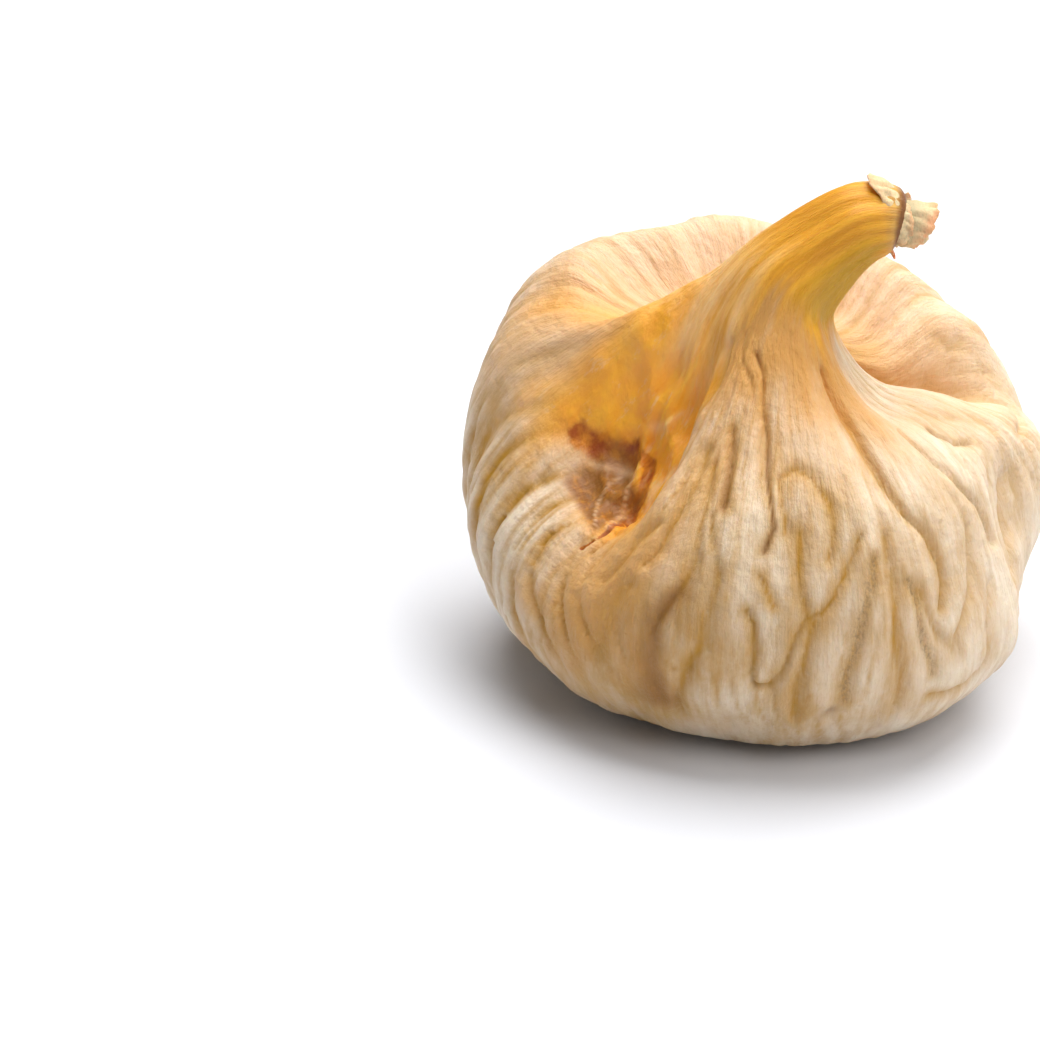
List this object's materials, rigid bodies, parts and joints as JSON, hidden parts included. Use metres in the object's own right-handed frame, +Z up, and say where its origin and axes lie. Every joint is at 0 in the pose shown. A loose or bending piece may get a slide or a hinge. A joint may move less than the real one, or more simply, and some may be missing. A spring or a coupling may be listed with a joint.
{
  "type": "dried fig",
  "caption": "Whole dried fig standing on its flattened underside, with pleated skin, uneven lobes and a leaning neck that ends in a torn stalk.",
  "frame": {"origin": "under the middle of the fig's bounding box, on the surface that it rests on", "axes": "+Z up, +X towards the side that the neck leans to, -Y towards the front lobe; the flat underside faces -Z"},
  "size_m": [0.0404, 0.0378, 0.0365],
  "materials": {
    "fig_skin": "dried fruit skin: pale cream pleats with olive-gold grooves, amber and half see-through round the neck, satin with a faint waxy gloss"
  },
  "bodies": {
    "root": {"dried_fig": "fig_skin"}
  },
  "joints": []
}
